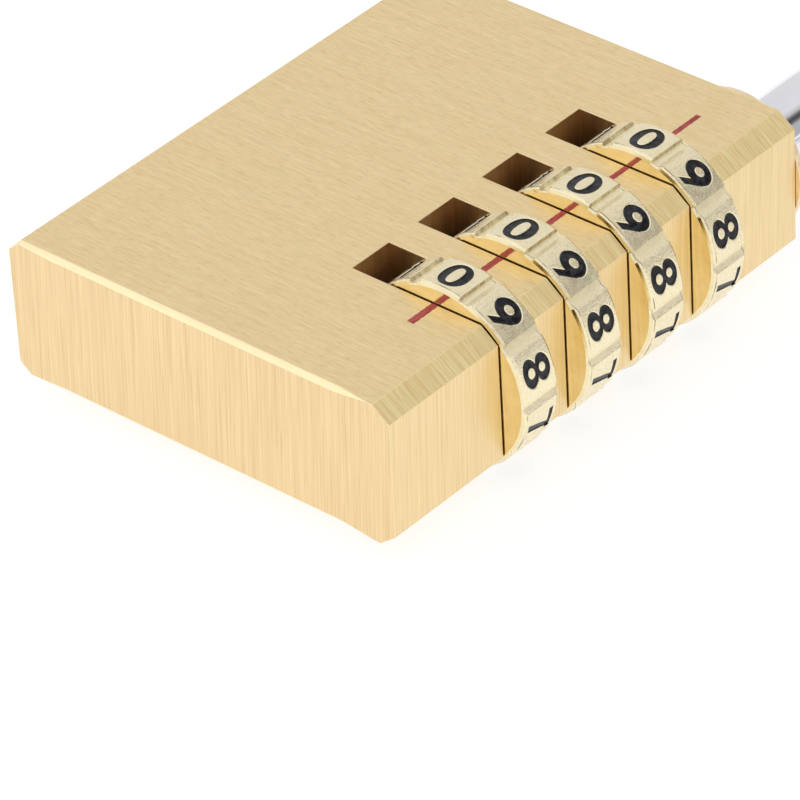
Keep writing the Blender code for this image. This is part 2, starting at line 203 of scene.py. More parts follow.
def brushed_brass(name, roughness, contrast, scratch, dark=BRASS_DARK, light=BRASS_LIGHT):
    material, tree, shader = new_metal(name, roughness, STRETCH)
    grain = add_node(tree, "ShaderNodeUVMap", uv_map="grain").outputs[0]
    along = add_node(tree, "ShaderNodeTangent", direction_type="UV_MAP", uv_map="grain").outputs[0]
    tree.links.new(along, shader.inputs["Tangent"])
    shader.inputs["Anisotropic Rotation"].default_value = STRETCH_TURN
    hair = noise(tree, grain, HAIR, 3.0)
    streak = noise(tree, grain, STREAK, 2.0, STREAK_SHIFT)
    cut = share_of(tree, noise(tree, grain, CUT, 1.0, CUT_SHIFT), 0.60, 0.72)
    tone = sum_of(tree, "MULTIPLY", hair, HAIR_SHARE)
    tone = sum_of(tree, "ADD", tone, sum_of(tree, "MULTIPLY", streak, STREAK_SHARE))
    spread = 0.5 / contrast
    tone = share_of(tree, tone, 0.5 - spread, 0.5 + spread)
    tone = sum_of(tree, "SUBTRACT", tone, sum_of(tree, "MULTIPLY", cut, scratch))
    colour = blend_colours(tree, tone, dark, light)
    rough = share_of(tree, hair, 0.25, 0.75, roughness - 0.05, roughness + 0.07)
    height = sum_of(tree, "SUBTRACT", hair, cut)
    shade_with(tree, shader, colour, rough, height, GRAIN_DEPTH, GRAIN_STRENGTH)
    return material


# %% [markdown]
# The sides of the block don't look alike, so it gets five finishes of this kind.
# The chamfer by the dials is the coarsest. The slots and bores are milled; they are darker, a painted shade
# in these recesses, and redder.
# The eased edge of an end is the palest, a painted highlight, and the ends are a shade deeper than the wide
# faces.
# The three numbers are the roughness, the contrast of the lines and the strength of the scratches.

# %% The block's five finishes
FACE_FINISH, CHAMFER_FINISH, SLOT_FINISH, EDGE_FINISH, END_FINISH = range(5)
case_finishes = [
    brushed_brass("brushed_brass", 0.34, 2.6, 0.45),
    brushed_brass("scratched_chamfer_brass", 0.62, 5.0, 0.9, (0.90, 0.69, 0.355), (1.0, 0.88, 0.53)),
    # painted shade: darker brass for the faces inside the slots and bores
    brushed_brass("shaded_slot_brass", 0.42, 2.0, 0.4, (0.56, 0.36, 0.18), (0.74, 0.52, 0.29)),
    # painted highlight: the eased edge gets paler brass than the faces
    brushed_brass("painted_highlight_edge_brass", 0.3, 2.0, 0.2, (0.93, 0.77, 0.46), (1.0, 0.875, 0.57)),
    brushed_brass("brushed_end_brass", 0.34, 3.0, 0.5, (0.78, 0.57, 0.30), (0.98, 0.76, 0.445)),
]
print("finishes:", [finish.name for finish in case_finishes])

# %% [markdown]
# The block keeps its solid's shape, but a real edge is never perfectly sharp.
# A copy of the solid has its loose triangles merged and its flat faces joined again.
# Then the edges that the hand can touch can get a bevel of a few hundredths of a millimetre.
# It catches the light, but smooth shading would let it bend the shine of a large flat face beside it.
# So only round faces are shaded smooth.


# %% Soft-edged copies of solids
SHARP = math.radians(25)
SAME_POINT = 1e-6
SAME_PLANE = math.radians(0.2)
STRAIGHT = 0.99999


def merged_copy(node):
    """A bmesh of a solid with its triangles joined into flat faces."""
    bm = bmesh.new()
    bm.from_mesh(nodes[node].data)
    bmesh.ops.remove_doubles(bm, verts=bm.verts, dist=SAME_POINT)
    bmesh.ops.dissolve_limit(bm, angle_limit=SAME_PLANE, verts=bm.verts, edges=bm.edges)
    return bm


def is_outside(bm, face, slack=4e-5):
    """True for a face with the whole block behind it, so not for one inside a slot or bore."""
    middle = face.calc_center_median()
    return all((vert.co - middle).dot(face.normal) < slack for vert in bm.verts)


def soften(bm, edges, width, steps=2):
    bmesh.ops.bevel(
        bm, geom=edges, offset=width, segments=steps, profile=0.5, affect="EDGES", clamp_overlap=True
    )


def make_piece(name, bm, materials, sharp=SHARP, flat=()):
    """Shade smooth what is round, and flat what faces straight along an axis or is listed as flat."""
    bm.normal_update()
    is_round = [face not in flat and max(abs(part) for part in face.normal) < STRAIGHT for face in bm.faces]
    mesh = bpy.data.meshes.new(name)
    bm.to_mesh(mesh)
    bm.free()
    mesh.set_sharp_from_angle(angle=sharp)
    mesh.polygons.foreach_set("use_smooth", is_round)
    for material in materials:
        mesh.materials.append(material)
    piece = bpy.data.objects.new(name, mesh)
    scene.collection.objects.link(piece)
    return piece


# %% [markdown]
# The grain map is laid face by face.
# The wide faces are brushed along X. The ends and sides are brushed along Z, leaning a little.
# The pace along the lines sets how long they are: short on the wide faces, long on the ends and sides.
# Each kind of face is shifted in the map, so the lines of one don't run on over the edge into the next.


# %% Grain and finish of each face
X, Y, Z = 0, 1, 2
END, EASED, SIDE, WIDE, SLOPE = 1, 2, 3, 4, 5
PACE = {END: 0.3, SIDE: 0.3, WIDE: 2.4}
LEAN = {END: 0.05, SIDE: 0.05}
KIND_SHIFT = 0.37
SLOT_DEPTH = 0.0009
BY_DIALS_X = 0.0175
END_FROM, EASED_FROM, SIDE_FROM, WIDE_FROM = 0.85, 0.3, 0.9, 0.95  # the least part of a normal that way
CHAMFER_FROM = 0.4


def kind_of(face):
    """The kind of a face, and the directions along its lines and across them."""
    x, y, z = (abs(part) for part in face.normal)
    if y > END_FROM:
        return END, Z, X
    if y > EASED_FROM:
        return EASED, X, Z
    if x > SIDE_FROM:
        return SIDE, Z, Y
    return (WIDE if z > WIDE_FROM else SLOPE), X, Y


def depth_inside(spot):
    """How far a point is from the nearest side of the block's box."""
    low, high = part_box("body")
    return min(min(spot[i] - low[i], high[i] - spot[i]) for i in (X, Y, Z))


def case_finish(face, kind):
    middle = face.calc_center_median()
    # faces deep inside the block get the darker slot brass, a painted shade
    if depth_inside(middle) > SLOT_DEPTH:
        return SLOT_FINISH
    if kind == EASED:
        return EDGE_FINISH
    if kind == END:
        return END_FINISH
    is_chamfer = kind == SLOPE and face.normal.x > CHAMFER_FROM and middle.x > BY_DIALS_X
    return CHAMFER_FINISH if is_chamfer else FACE_FINISH


def lay_grain(bm):
    grain = bm.loops.layers.uv.new("grain")
    for face in bm.faces:
        kind, along, across = kind_of(face)
        for loop in face.loops:
            run, side = loop.vert.co[along], loop.vert.co[across]
            side -= run * LEAN.get(kind, 0.0)
            loop[grain].uv = (run * PACE.get(kind, 1.0), side + kind * KIND_SHIFT)
        face.material_index = case_finish(face, kind)


# %% [markdown]
# Now the block itself. An edge is touched when it is sharp and one of its two faces is on the outside.
# After the bevel, the broad outside faces are found again, because they are the ones to be shaded flat.

# %% The case
SOFT_EDGE = 0.00006
NARROW = 0.0002


def is_broad(face):
    """True for a face that is wider than a bevel, by its area and its longest edge."""
    return face.calc_area() > NARROW * max(edge.calc_length() for edge in face.edges)


bm = merged_copy("body")
bm.normal_update()
outer = {face for face in bm.faces if is_outside(bm, face)}
touched = [
    edge
    for edge in bm.edges
    if len(edge.link_faces) == 2 and edge.calc_face_angle() > SHARP and outer & set(edge.link_faces)
]
soften(bm, touched, SOFT_EDGE)
bm.normal_update()
lay_grain(bm)
planes = {face for face in bm.faces if is_broad(face) and is_outside(bm, face)}
case = make_piece("case", bm, case_finishes, flat=planes)
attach(case, "case")
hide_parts("body")
print("case:", len(case.data.polygons), "faces,", len(touched), "softened edges")

# %% [markdown]
# A thin red line on the front face shows where the code is read.
# On the real lock it is paint in a shallow scratch, so it is darker where it has worn.

# %% Red paint
index_red, tree, paint = new_finish("index_red")
worn = noise(tree, place_on_piece(tree), (2500, 700, 2500), 3.0)
colour = blend_colours(tree, share_of(tree, worn, 0.35, 0.68), (0.33, 0.022, 0.025), (0.56, 0.075, 0.065))
shade_with(tree, paint, colour, share_of(tree, worn, *MOST, 0.5, 0.35), worn, 0.00002, 0.5)
print("paint:", index_red.name)

# %% [markdown]
# Each bridge between two dials carries a length of the line.
# A stub of it runs on past the first dial, and another past the last.
# The line narrows towards the shackle, and its edges are a little ragged.
# It could be a band in the brass material, but as thin pieces it keeps its edge in any light.

# %% Where the index line goes
INDEX_X = 0.01367
INDEX_WIDTHS = (0.00074, 0.00052)
INDEX_GAP = 0.00013
STUBS = (0.0030, 0.0049)
SLOW_WAVE, FAST_WAVE = (0.05, 9100), (0.04, 23000)  # share of the width, and radians in a metre

dial_boxes = [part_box(f"dial_{number}") for number in (1, 2, 3, 4)]
stops = [dial_boxes[0][0].y - INDEX_GAP - STUBS[0]]
for low, high in dial_boxes:
    stops += [low.y - INDEX_GAP, high.y + INDEX_GAP]
stops.append(stops[-1] + STUBS[1])


def ragged(y, side):
    """Half the line's width at a place along it, which narrows towards the shackle and wavers a little."""
    share = (y - stops[0]) / (stops[-1] - stops[0])
    width = INDEX_WIDTHS[0] + share * (INDEX_WIDTHS[1] - INDEX_WIDTHS[0])
    slow = SLOW_WAVE[0] * math.sin(y * SLOW_WAVE[1] + side)
    fast = FAST_WAVE[0] * math.sin(y * FAST_WAVE[1] + 2 * side)
    return width / 2 * (1 + slow + fast)


print("index line in mm: from", round(stops[0] * 1000, 2), "to", round(stops[-1] * 1000, 2))

# %% [markdown]
# Paint has thickness: each length is a flat-topped bar that stands about a hundredth of a millimetre proud.
# It is made of rows of four points, and a helper that later pieces need too joins each row to the next.

# %% The index line
INDEX_RISE, INDEX_SINK = 0.000012, 0.000004
INDEX_TOP = 0.86  # the flat top's share of the width
INDEX_STEP = 0.00012


def join_rows(bm, near, far):
    """A band of faces between two rows of points that each go round in a ring."""
    band = []
    for place in range(len(near)):
        after = (place + 1) % len(near)
        band.append(bm.faces.new((near[place], far[place], far[after], near[after])))
    return band


bm = bmesh.new()
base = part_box("body")[1].z - INDEX_SINK
for start, end in zip(stops[::2], stops[1::2]):
    count = max(4, round((end - start) / INDEX_STEP))
    rows = []
    for step in range(count + 1):
        y = start + (end - start) * step / count
        left, right = ragged(y, 1), ragged(y, 5)
        rim = [(-left, 0), (-left * INDEX_TOP, INDEX_RISE), (right * INDEX_TOP, INDEX_RISE), (right, 0)]
        rows.append([bm.verts.new((INDEX_X + x, y, base + rise)) for x, rise in rim])
    for near, far in zip(rows, rows[1:]):
        join_rows(bm, near, far)
    bm.faces.new(rows[0])
    bm.faces.new(rows[-1])
bmesh.ops.recalc_face_normals(bm, faces=bm.faces)
index_line = make_piece("index_line", bm, [index_red])
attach(index_line, "case")
print("index line:", len(stops) // 2, "lengths,", len(index_line.data.polygons), "faces")

# %% [markdown]
# The dials are paler than the block. They were cast and then tumbled.
# Their finishes need to know how deep a point is below the pads, and how far in it is from the dial's side.
# The four dials share one axis and stand at an even pitch, so one pair of sums serves them all.

# %% Where a point is on a dial
pivots = {joint["child"]: Vector(joint.get("pos_m") or (0, 0, 0)) for joint in frame["joints"]}
AXIS_X = pivots["dial_1"].x
DIAL_RADIUS = dial_boxes[0][1].z


def depth_below_pads(tree, spot):
    feeds = {"Vector": spot, "Location": (-AXIS_X, 0, 0), "Scale": (1, 0, 1)}
    mapped = add_node(tree, "ShaderNodeMapping", feeds)
    away = add_node(tree, "ShaderNodeVectorMath", {0: mapped.outputs[0]}, operation="LENGTH")
    return sum_of(tree, "SUBTRACT", DIAL_RADIUS, away.outputs["Value"])


def depth_from_side(tree, spot):
    low, high = dial_boxes[0]
    pitch = dial_boxes[1][0].y - low.y
    along = add_node(tree, "ShaderNodeSeparateXYZ", {0: spot}).outputs[1]
    along = sum_of(tree, "SUBTRACT", along, (low.y + high.y) / 2)
    along = sum_of(tree, "WRAP", along, pitch / 2, -pitch / 2)
    return sum_of(tree, "SUBTRACT", (high.y - low.y) / 2, sum_of(tree, "ABSOLUTE", along))


print("dial axis at x in mm:", AXIS_X * 1000, "radius in mm:", round(DIAL_RADIUS * 1000, 3))

# %% [markdown]
# A pad has a fine sandy skin from the casting, polished by tumbling and smeared here and there.
# The grooves stay rougher, because tumbling doesn't reach them. Their colour is lighter too, a painted
# highlight.
# Parts of the crease where a pad meets its eased rim are darkened brown: painted shade and a painted dark
# reflection.

# %% Pads
GROOVE_FADE = (0.00006, 0.00030)
CREASE_STARTS, CREASE_ENDS = (0.00023, 0.00028), (0.00030, 0.00035)
CREASE_SHADE_BROWN = (0.24, 0.18, 0.10)
SAND_SHARE, SMEAR_SHARE, GROOVE_SHARE = 0.6, 0.4, 0.2
SAND_DEPTH = 0.00006

pad_brass, tree, shader = new_metal("pad_brass", 0.22)
spot = place_on_piece(tree)
sand = noise(tree, spot, 4200, 4.0)
smear = noise(tree, spot, 900)
groove = share_of(tree, depth_below_pads(tree, spot), *GROOVE_FADE)
tone = sum_of(tree, "MULTIPLY", sand, SAND_SHARE)
tone = sum_of(tree, "ADD", tone, sum_of(tree, "MULTIPLY", smear, SMEAR_SHARE))
# painted highlight: the grooves get a lighter tone
tone = sum_of(tree, "MULTIPLY_ADD", groove, GROOVE_SHARE, tone)
colour = blend_colours(tree, share_of(tree, tone, 0.32, 0.68), (0.88, 0.755, 0.49), (1.0, 0.91, 0.65))
crease = depth_from_side(tree, spot)
into, out_of = share_of(tree, crease, *CREASE_STARTS), share_of(tree, crease, *CREASE_ENDS, 1, 0)
# painted shade: a brown darkening in patches along the crease by the rim
dark_patches = share_of(tree, noise(tree, spot, 420, 3.0, (4.2, 0, 8.8)), 0.44, 0.60)
dark_patches = sum_of(tree, "MULTIPLY", dark_patches, sum_of(tree, "MULTIPLY", into, out_of))
colour = blend_colours(tree, dark_patches, colour, CREASE_SHADE_BROWN)
rough = share_of(tree, groove, 0, 1, 0.19, 0.52)
rough = sum_of(tree, "ADD", rough, share_of(tree, smear, 0.35, 0.65, -0.05, 0.13))
shade_with(tree, shader, colour, rough, sand, SAND_DEPTH)
print("pads:", pad_brass.name)

# %% [markdown]
# The steep step at the end of each pad has a dull finish of its own, darker and browner in patches.
# The flat sides were turned and are nearly mirrors, so they show the gold of the block beside them.
# Their rings are a noise that reads nothing but the distance from the axis.

# %% Steps and sides of the dials
step_brass, tree, shader = new_metal("dark_step_brass", 0.5)
# the step's colour goes darker and browner in patches
dark_patches = noise(tree, place_on_piece(tree), (600, 1500, 600), 3.0)
colour = blend_colours(tree, share_of(tree, dark_patches, 0.35, 0.65), (0.52, 0.42, 0.25), (0.96, 0.85, 0.58))
shade_with(tree, shader, colour, share_of(tree, dark_patches, *MOST, 0.6, 0.4), dark_patches, 0.00002, 0.6)

side_brass, tree, shader = new_metal("turned_side_brass", 0.1)
spot = place_on_piece(tree)
ring = add_node(tree, "ShaderNodeCombineXYZ", {0: depth_below_pads(tree, spot)}).outputs[0]
turned = noise(tree, ring, (16000, 1, 1))
smear = noise(tree, spot, 700)
colour = blend_colours(tree, share_of(tree, smear, *MOST), (0.86, 0.74, 0.45), (0.95, 0.84, 0.55))
shade_with(tree, shader, colour, share_of(tree, smear, *MOST, 0.08, 0.16), turned, 0.000004, 0.2)
print("steps and sides:", step_brass.name, side_brass.name)

# %% [markdown]
# The digits are sunk into the pads and filled with glossy black paint.
# The paint isn't quite even: its gloss changes in patches, and where it does its colour turns grey, a painted
# sheen.

# %% Black paint
digit_black, tree, paint = new_finish("digit_black")
patch = noise(tree, place_on_piece(tree), 1800, 3.0)
# painted sheen: grey patches in the black colour
colour = blend_colours(tree, share_of(tree, patch, 0.45, 0.75), (0.004, 0.004, 0.006), (0.05, 0.05, 0.06))
paint.inputs["Specular IOR Level"].default_value = 0.3
shade_with(tree, paint, colour, share_of(tree, patch, *MOST, 0.18, 0.4), patch, 0.00004, 0.6)
dial_finishes = [pad_brass, side_brass, digit_black, step_brass]
PAD, PAINT, STEP = 0, 2, 3  # places in that list
print("dial finishes:", [finish.name for finish in dial_finishes])

# %% [markdown]
# A dial follows a rule: ten pads on a circle, and after each a groove.
# The groove drops steeply, runs flat and ramps up to the next pad.
# The cross-section is the same all the way round, apart from the groove and a keyway behind each digit.
# So a tree of Geometry Nodes bends a flat grid round the axis.
# One direction of the grid walks round the dial, and the other walks round the cross-section.

# %% The sizes that the dial tree takes
PADS = 10
SIZES = {
    "Radius": DIAL_RADIUS,
    "Bore": 0.00506,
    "Keyway Depth": 0.00045,
    "Keyway Width": 0.0011,
    "Width": dial_boxes[0][1].y - dial_boxes[0][0].y,
    "Rim Run": 0.00032,
    "Rim Drop": 0.0004,
    "Groove Width": 0.00116,
    "Groove Step": 0.00008,
    "Groove Floor": 0.00055,
    "Groove Depth": 0.00034,
}
INPUTS = {**dict.fromkeys(SIZES, "Float"), "Pads": "Int", "Axis": "Vector"}
INPUTS.update({"Pad Finish": "Material", "Side Finish": "Material"})
dial_tree = bpy.data.node_groups.new("number_dial", "GeometryNodeTree")
for name, kind in INPUTS.items():
    dial_tree.interface.new_socket(name, in_out="INPUT", socket_type="NodeSocket" + kind)
dial_tree.interface.new_socket("Dial", in_out="OUTPUT", socket_type="NodeSocketGeometry")
given = dial_tree.nodes.new("NodeGroupInput").outputs
print("dial tree inputs:", [socket.name for socket in given if socket.name])

# %% [markdown]
# From one digit to the next the walk has 28 steps: 20 on the pad, 1 down, 3 on the floor and 4 up.
# Steps are placed exactly on the corners of a groove, so the corners stay crisp with few faces.

# %% Round the dial: angle and surface radius
PAD_STEPS, DOWN_STEPS, FLOOR_STEPS, UP_STEPS = 20, 1, 3, 4
STEPS = PAD_STEPS + DOWN_STEPS + FLOOR_STEPS + UP_STEPS
PROFILE_POINTS = 9
ROUNDING = 0.001  # keeps a point that stands on a mark from falling to the digit before


def calc(operation, *values):
    return sum_of(dial_tree, operation, *values)


around_count = calc("ADD", calc("MULTIPLY", given["Pads"], STEPS), 1)
grid_feeds = {"Size X": 1.0, "Size Y": 1.0, "Vertices X": around_count, "Vertices Y": PROFILE_POINTS}
grid = add_node(dial_tree, "GeometryNodeMeshGrid", grid_feeds)
flat = add_node(dial_tree, "GeometryNodeInputPosition")
flat = add_node(dial_tree, "ShaderNodeSeparateXYZ", {0: flat.outputs[0]}).outputs
walked = calc("MULTIPLY", calc("ADD", flat[0], 0.5), given["Pads"])
digit = calc("FLOOR", calc("ADD", walked, ROUNDING))
within = calc("MULTIPLY", calc("SUBTRACT", walked, digit), STEPS)
marks = [0, PAD_STEPS, PAD_STEPS + DOWN_STEPS, STEPS - UP_STEPS, STEPS]
on_pad, down, on_floor, up = [share_of(dial_tree, within, a, b) for a, b in zip(marks, marks[1:])]
pitch = calc("DIVIDE", math.tau, given["Pads"])
groove_turn = calc("DIVIDE", given["Groove Width"], given["Radius"])
step_turn = calc("DIVIDE", given["Groove Step"], given["Radius"])
floor_turn = calc("DIVIDE", given["Groove Floor"], given["Radius"])
ramp_turn = calc("SUBTRACT", groove_turn, calc("ADD", step_turn, floor_turn))
pad_turn = calc("SUBTRACT", pitch, groove_turn)
from_digit = calc("MULTIPLY", pad_turn, calc("SUBTRACT", on_pad, 0.5))
angle = calc("ADD", calc("MULTIPLY", digit, pitch), from_digit)
for turn, share in ((step_turn, down), (floor_turn, on_floor), (ramp_turn, up)):
    angle = calc("MULTIPLY_ADD", turn, share, angle)
sunk = calc("MULTIPLY", given["Groove Depth"], calc("SUBTRACT", down, up))
surface = calc("SUBTRACT", given["Radius"], sunk)
print("steps round the dial:", STEPS * PADS)

# %% [markdown]
# The walk round the cross-section has nine stops, and the last one is the first again.
# It goes from the bore out along one side, over an eased rim, across the pad and back on the other side.
# An Index Switch picks the radius and the place along the axis for each stop.

# %% Round the cross-section: radius and place along the axis
CROWN = 0.33  # the rim's corner is this share of its drop below the pad, and of its run in from the side
half_key = calc("DIVIDE", calc("DIVIDE", given["Keyway Width"], given["Bore"]), 2)
in_key = calc("LESS_THAN", calc("ABSOLUTE", from_digit), half_key)
bore = calc("MULTIPLY_ADD", in_key, given["Keyway Depth"], given["Bore"])
rim = calc("MINIMUM", surface, calc("SUBTRACT", given["Radius"], given["Rim Drop"]))
crown = calc("SUBTRACT", given["Radius"], calc("MULTIPLY", given["Rim Drop"], CROWN))
crown = calc("MINIMUM", surface, crown)
half = calc("DIVIDE", given["Width"], 2)
shoulder = calc("SUBTRACT", half, given["Rim Run"])
brow = calc("SUBTRACT", half, calc("MULTIPLY", given["Rim Run"], CROWN))
left = [calc("MULTIPLY", value, -1) for value in (half, half, brow, shoulder)]
stop = calc("ROUND", calc("MULTIPLY", calc("ADD", flat[1], 0.5), PROFILE_POINTS - 1))


def pick(choices):
    switch = add_node(dial_tree, "GeometryNodeIndexSwitch", data_type="FLOAT")
    while len(switch.index_switch_items) < len(choices):
        switch.index_switch_items.new()
    dial_tree.links.new(stop, switch.inputs[0])
    for number, value in enumerate(choices):
        dial_tree.links.new(value, switch.inputs[number + 1])
    return switch.outputs[0]


radius = pick([bore, rim, crown, surface, surface, crown, rim, bore, bore])
along = pick([*left, shoulder, brow, half, half, left[0]])
print("stops round the cross-section:", PROFILE_POINTS)

# %% [markdown]
# The grid's points now move to their places, and the two seams are merged, so the dial is one closed ring.
# The tree ends by giving the pads and the flat sides their finishes.

# %% Bend the grid and finish the tree
SEAM, FLANK_FROM = 1e-7, 0.9
across, up = calc("MULTIPLY", radius, calc("SINE", angle)), calc("MULTIPLY", radius, calc("COSINE", angle))
bent = add_node(dial_tree, "ShaderNodeCombineXYZ", {0: across, 1: along, 2: up}).outputs[0]
bent = add_node(dial_tree, "ShaderNodeVectorMath", {0: bent, 1: given["Axis"]}, operation="ADD").outputs[0]
made = add_node(dial_tree, "GeometryNodeSetPosition", {"Geometry": grid.outputs[0], "Position": bent})
made = add_node(dial_tree, "GeometryNodeMergeByDistance", {"Geometry": made.outputs[0], "Distance": SEAM})
made = add_node(dial_tree, "GeometryNodeRealizeInstances", {0: made.outputs[0]})
pad_feeds = {"Geometry": made.outputs[0], "Material": given["Pad Finish"]}
made = add_node(dial_tree, "GeometryNodeSetMaterial", pad_feeds)
facing = add_node(dial_tree, "GeometryNodeInputNormal").outputs[0]
facing = add_node(dial_tree, "ShaderNodeSeparateXYZ", {0: facing}).outputs[1]
flank = calc("GREATER_THAN", calc("ABSOLUTE", facing), FLANK_FROM)
side_feeds = {"Geometry": made.outputs[0], "Selection": flank, "Material": given["Side Finish"]}
made = add_node(dial_tree, "GeometryNodeSetMaterial", side_feeds)
add_node(dial_tree, "NodeGroupOutput", {0: made.outputs[0]})
print("dial tree:", len(dial_tree.nodes), "nodes")

# %% [markdown]
# A modifier runs the tree on an empty mesh.
# Its inputs are set by their identifiers before the tree first runs, and the result becomes a plain mesh.
# The steep steps are then picked out by the way they face, for their own finish.

# %% Run the tree once
SIDEWAYS, STEEP = 0.5, 0.5  # a step's normal has less than this along the axis, and less outwards


def evaluated_mesh(piece):
    """The mesh that a piece has after its modifiers, which are then removed."""
    seen = piece.evaluated_get(bpy.context.evaluated_depsgraph_get())
    mesh = bpy.data.meshes.new_from_object(seen)
    piece.modifiers.clear()
    return mesh


def is_steep(face):
    """True for the step down into a groove, which hardly faces outwards."""
    outward = face.calc_center_median() - first_axis
    outward.y = 0
    is_high = outward.length > SIZES["Radius"] - SIZES["Groove Depth"]
    return is_high and abs(face.normal.y) < SIDEWAYS and face.normal.dot(outward.normalized()) < STEEP


first_axis = pivots["dial_1"]
blank = bpy.data.objects.new("dial_blank", bpy.data.meshes.new("dial_blank"))
scene.collection.objects.link(blank)
modifier = blank.modifiers.new("number_dial", "NODES")
modifier.node_group = dial_tree
settings = {**SIZES, "Pads": PADS, "Axis": first_axis, "Pad Finish": pad_brass, "Side Finish": side_brass}
for socket in dial_tree.interface.items_tree:
    if socket.in_out == "INPUT":
        modifier[socket.identifier] = settings[socket.name]
ring_mesh = evaluated_mesh(blank)
bm = bmesh.new()
bm.from_mesh(ring_mesh)
bmesh.ops.recalc_face_normals(bm, faces=bm.faces)
for face in bm.faces:
    finish = dial_finishes.index(ring_mesh.materials[face.material_index])
    face.material_index = STEP if is_steep(face) else finish
print("dial ring:", len(bm.faces), "faces, open edges:", sum(edge.is_boundary for edge in bm.edges))
bpy.data.objects.remove(blank)
blank = make_piece("dial_blank", bm, dial_finishes)

# %% [markdown]
# The digits are bold, with thick sides and thin tops, so they can't be lines of one width.
# Each stroke is a ribbon: a row of stations, each with a left and a right point.
# They are measured in millimetres from the digit's middle.
# Bowls are ribbons between two ovals, and bars and tails are short open ribbons.


# %% Strokes of the digits
BOWL_STATIONS = 40
STATION_MM = 0.2
CURVE_PARTS = 6


def bowl(centre, outer, inner, inner_centre=None, squareness=2.0):
    inner_centre = inner_centre or centre
    ribbon = []
    for number in range(BOWL_STATIONS):
        turn = math.tau * number / BOWL_STATIONS
        across, up = math.cos(turn), math.sin(turn)
        reach = (abs(across) ** squareness + abs(up) ** squareness) ** (-1 / squareness)
        across, up = across * reach, up * reach
        left = (centre[0] + outer[0] * across, centre[1] + outer[1] * up)
        right = (inner_centre[0] + inner[0] * across, inner_centre[1] + inner[1] * up)
        ribbon.append((left, right))
    return ribbon, True


def edges_between(left, right):
    """An open ribbon between two edges, with stations close enough to bend round the dial."""
    stations = [(Vector(a), Vector(b)) for a, b in zip(left, right)]
    ribbon = [stations[0]]
    for start, end in zip(stations, stations[1:]):
        longest = max((b - a).length for a, b in zip(start, end))
        parts = math.ceil(longest / STATION_MM)
        ribbon += [tuple(a.lerp(b, n / parts) for a, b in zip(start, end)) for n in range(1, parts + 1)]
    return ribbon, False


def on_curve(before, start, end, after, t):
    """The point at share t from start to end, on the smooth curve through four points."""
    curve = 2 * start + (end - before) * t
    curve += (2 * before - 5 * start + 4 * end - after) * t**2
    curve += (3 * start - before - 3 * end + after) * t**3
    return 0.5 * curve


def bent_stroke(path):
    """An open ribbon along (across, up, half width) points, rounded by a curve through them."""
    points = [Vector(point) for point in path]
    points = [2 * points[0] - points[1], *points, 2 * points[-1] - points[-2]]
    fine = []
    for four in zip(points, points[1:], points[2:], points[3:]):
        fine += [on_curve(*four, number / CURVE_PARTS) for number in range(CURVE_PARTS)]
    fine.append(points[-2])
    left, right = [], []
    for number, point in enumerate(fine):
        ahead = fine[min(number + 1, len(fine) - 1)] - fine[max(number - 1, 0)]
        side = Vector((-ahead.y, ahead.x)).normalized() * point.z
        left.append((point.x + side.x, point.y + side.y))
        right.append((point.x - side.x, point.y - side.y))
    return edges_between(left, right)


def half_turned(stroke):
    ribbon, closed = stroke
    return [tuple((-x, -y) for x, y in station) for station in ribbon], closed


# %% [markdown]
# Now the ten digits, each a list of strokes. A 6 is a 9 that is turned half round.

